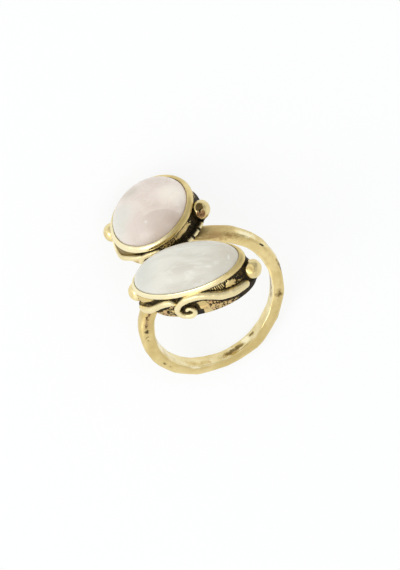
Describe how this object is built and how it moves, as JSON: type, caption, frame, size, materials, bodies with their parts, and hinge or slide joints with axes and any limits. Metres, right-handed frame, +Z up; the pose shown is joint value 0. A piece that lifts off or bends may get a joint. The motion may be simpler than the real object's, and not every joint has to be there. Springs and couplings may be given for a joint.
{
  "type": "gemstone ring",
  "caption": "Open bypass finger ring in antiqued gold metal with an oval and a round cabochon in bead-ended scroll settings.",
  "frame": {"origin": "middle of the box in X and Y, at the table", "axes": "+Z up from the table; +Y the longest way across the resting ring, towards the round setting; +X the narrow way"},
  "size_m": [0.0222, 0.0286, 0.0247],
  "materials": {
    "antique_gold": "satin antique gold with dark patina in the recesses",
    "grey_stone": "polished cloudy grey-white cabochon",
    "pink_stone": "polished cloudy pale pink cabochon"
  },
  "bodies": {
    "root": {"ring_metal": "antique_gold", "oval_stone": "grey_stone", "round_stone": "pink_stone"}
  },
  "joints": []
}
